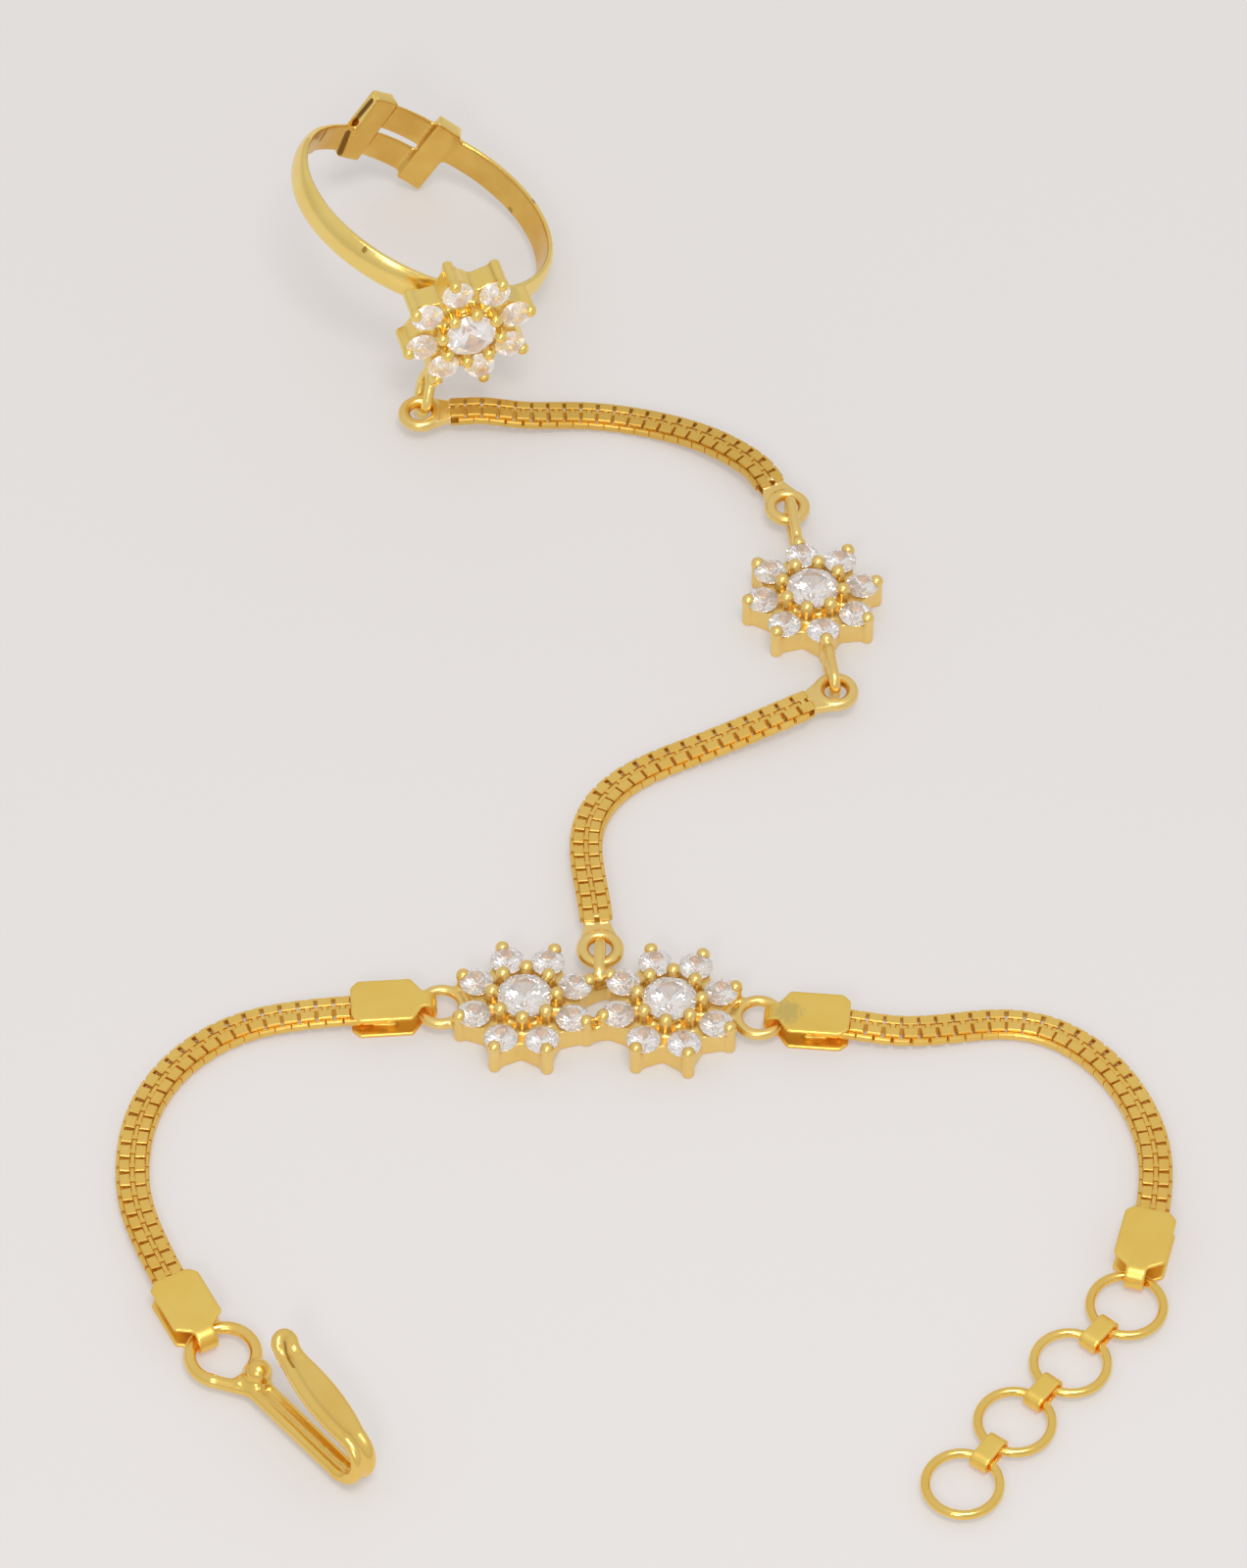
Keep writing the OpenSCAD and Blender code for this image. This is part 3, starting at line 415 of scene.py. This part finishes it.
def clear_stone(name, glow):
    stone = finish(name)
    # The stones' faint tints are painted fire and warm reflection, and they feed a weak painted glow too.
    haze = stone.noise(1500, 2, 0.6)
    painted_fire = stone.ramp(haze, [(0.3, (1, 0.94, 0.92)), (0.58, (1, 0.965, 0.955)),
                             (0.66, (0.88, 0.98, 0.95)), (0.72, (0.98, 0.90, 1.0))])
    return stone.surface(Base_Color=painted_fire, IOR=2.05, Transmission_Weight=0.86, Roughness=0.0,
                         Emission_Color=painted_fire, Emission_Strength=glow)


CLEAR = clear_stone("clear_stone", CLEAR_GLOW)
BRIGHT = clear_stone("bright_stone", BRIGHT_GLOW)
for flower in ("ring", "middle", "left", "right"):
    hearts = [mean(corners_of(f"{flower}_petal_stone_{k}")) for k in range(1, 9)]
    across = (hearts[0] - hearts[4]).normalized()
    up = across.cross(hearts[2] - hearts[6]).normalized()
    turned = Matrix.Rotation(math.radians(-HALF_FACET), 3, up)
    seats = [(f"{flower}_centre_stone", CENTRE_D, turned @ across)]
    seats += [(f"{flower}_petal_stone_{k + 1}", PETAL_D, (p - hearts[k - 4]).normalized())
              for k, p in enumerate(hearts)]
    stones = []
    for name, d, out in seats:
        top = max(p.dot(up) for p in corners_of(name))
        heart = mean(corners_of(name))
        heart = heart + up * (top - (GIRDLE / 2 + CROWN * d) * MM - heart.dot(up))
        stone = cut_stone(d)
        turn = Matrix((out, up.cross(out), up)).transposed()
        stone.matrix_world = Matrix.Translation(heart) @ turn.to_4x4()
        stones.append(stone)
    piece = joined(stones, f"{flower}_flower_stones")
    piece.data.materials.append(BRIGHT if flower == "ring" else CLEAR)
    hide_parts(*[name for name, d, out in seats])
    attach(piece, "root")

# Chains: double box chains of satin gold. Pairs of small box plates, above and below, are linked by
# flat links with two windows, so that the plates stand in two rows. All are stamped, folded and tumbled.
# The finger chain, farthest from the camera, is painted darker, as shade.
PLATE, PLATE_SIDE, PLATE_LEVEL = (1.10, 0.74, 0.26), 0.55, 0.445
PLATE_WALL, WALL_END, WALL_SIDE = (0.13, 0.36, 0.7), 0.475, 0.36
PAIR_BAR, OUTER_TAPER, PLATE_BEVEL = (0.34, 0.5, 1.0), 0.925, 0.06
SIDE_BAR, SIDE_BAR_AT = (1.10, 0.25, 0.57), 1.085
CROSS_BAR, CROSS_BAR_AT = (0.12, 2.0, 0.57), 0.53
FLAT_BAR, FLAT_BEVEL = (0.84, 0.26, 0.84), 0.08
END_GROWTH = 1.02
FAR_FROM, FAR_SHARE = 14, 0.55
SIDES = (-1, 1)


def far_chain_shade(metal):
    """The share of painted darker shade, which only the finger chain gets"""
    y = metal.node("SeparateXYZ", {}, {0: metal.place()}, out="Y")
    return ((y - FAR_FROM * MM) * 100).clamped() * FAR_SHARE


def boxes(name, parts):
    deselect()
    for k, (centre, size) in enumerate(parts):
        bpy.ops.mesh.primitive_cube_add(size=1, location=[c * MM for c in centre],
                                        scale=[s * MM for s in size])
        if k == 0:
            bpy.ops.object.transform_apply()
            bpy.context.object.name = name
            bpy.ops.object.mode_set(mode="EDIT")
    bpy.ops.object.mode_set(mode="OBJECT")
    return bpy.context.object


def pick(piece, kind, test):
    """Select the corners or edges whose points all pass a test of their place"""
    bpy.ops.object.mode_set(mode="EDIT")
    bpy.ops.mesh.select_all(action="DESELECT")
    bpy.ops.mesh.select_mode(type=kind)
    bpy.ops.object.mode_set(mode="OBJECT")
    points = piece.data.vertices
    for part in points if kind == "VERT" else piece.data.edges:
        ends = [part.co] if kind == "VERT" else [points[v].co for v in part.vertices]
        part.select = all(test(*[c / MM for c in end]) for end in ends)
    bpy.ops.object.mode_set(mode="EDIT")


def plate_pair_link():
    plates = [((0, s * PLATE_SIDE, level * PLATE_LEVEL), PLATE) for s in SIDES for level in SIDES]
    walls = [((end * WALL_END, s * WALL_SIDE, 0), PLATE_WALL) for s in SIDES for end in SIDES]
    pair = boxes("plate_pair", plates + walls + [((0, 0, 0), PAIR_BAR)])
    pick(pair, "VERT", lambda x, y, z: abs(y) > 0.9)
    bpy.ops.transform.resize(value=(OUTER_TAPER, 1, 1), center_override=(0, 0, 0))
    pick(pair, "EDGE", lambda x, y, z: z > 0.57 and abs(y) > 0.15 and abs(x) > 0.3)
    bpy.ops.mesh.bevel(offset=PLATE_BEVEL * MM, segments=1, affect="EDGES")
    bpy.ops.object.mode_set(mode="OBJECT")
    return pair


def flat_window_link():
    bars = [((0, s * SIDE_BAR_AT, 0), SIDE_BAR) for s in SIDES]
    crossbars = [((end * CROSS_BAR_AT, 0, 0), CROSS_BAR) for end in SIDES]
    flat = boxes("flat_link", bars + crossbars + [((0, 0, 0), FLAT_BAR)])
    pick(flat, "EDGE", lambda x, y, z: abs(y) > 1.2 and z > 0)
    bpy.ops.mesh.bevel(offset=FLAT_BEVEL * MM, segments=1, affect="EDGES")
    bpy.ops.object.mode_set(mode="OBJECT")
    return flat


def box_middle(part):
    corners = [v.co for v in part.data.vertices]
    return Vector([(min(c[k] for c in corners) + max(c[k] for c in corners)) / 2 for k in range(3)])


def link_centres(node):
    """The middles of a chain's solids, in order from one end to the other"""
    merged_copy(node)
    bpy.ops.mesh.separate(type="LOOSE")
    bpy.ops.object.mode_set(mode="OBJECT")
    parts = list(bpy.context.selected_objects)
    centres = [box_middle(part) for part in parts]
    deselect()
    for part in parts:
        part.select_set(True)
    bpy.ops.object.delete()
    far = max(centres, key=lambda c: (c - centres[0]).length)
    row = [max(centres, key=lambda c: (c - far).length)]
    rest = [c for c in centres if c is not row[0]]
    while rest:
        row.append(min(rest, key=lambda c: (c - row[-1]).length))
        rest.remove(row[-1])
    return row


# Its seams get painted orange shade and glow, and the finger chain a painted darker shade.
SATIN = gold("satin_gold", (0.93, 0.655, 0.18), (0.87, 0.56, 0.122), 0.40, 0.2, 5200, 0.003, 0.32, 1.1,
             (0.72, 0.36, 0.05), [(far_chain_shade, (0.72, 0.46, 0.10))], (0.155, 0.075, 0.006))
pair_link, flat_link = plate_pair_link(), flat_window_link()
for chain in ("finger_chain", "hand_chain", "left_wrist_chain", "right_wrist_chain"):
    row = link_centres(chain)
    row = [2 * row[0] - row[1], *row, 2 * row[-1] - row[-2]]
    last = len(row) - 1
    links = []
    for k, centre in enumerate(row):
        source = flat_link if k % 2 else pair_link
        link = source.copy()
        link.data = source.data.copy()
        bpy.context.scene.collection.objects.link(link)
        along = (row[min(k + 1, last)] - row[max(k - 1, 0)]).normalized()
        side = Vector((0, 0, 1)).cross(along).normalized()
        grow = END_GROWTH if k in (0, last) else 1
        turn = Matrix((along * grow, side * grow, along.cross(side) * grow)).transposed()
        link.matrix_world = Matrix.Translation(centre) @ turn.to_4x4()
        links.append(link)
    piece = joined(links, chain + "_links")
    piece.data.materials.append(SATIN)
    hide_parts(chain)
    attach(piece, "root")
deselect()
pair_link.select_set(True)
flat_link.select_set(True)
bpy.ops.object.delete()

# Caps: strips of sheet folded round a wire over the chain's last plates, with clipped and worn corners.
# The upper caps hang on the wrist setting's side loops, the lower ones on the hook and the first ring.
for cap in ("left_upper_cap", "right_upper_cap", "left_lower_cap", "right_lower_cap"):
    worn(cap, cap + "_fold", FOLD, 0.03, 24, 0.08)
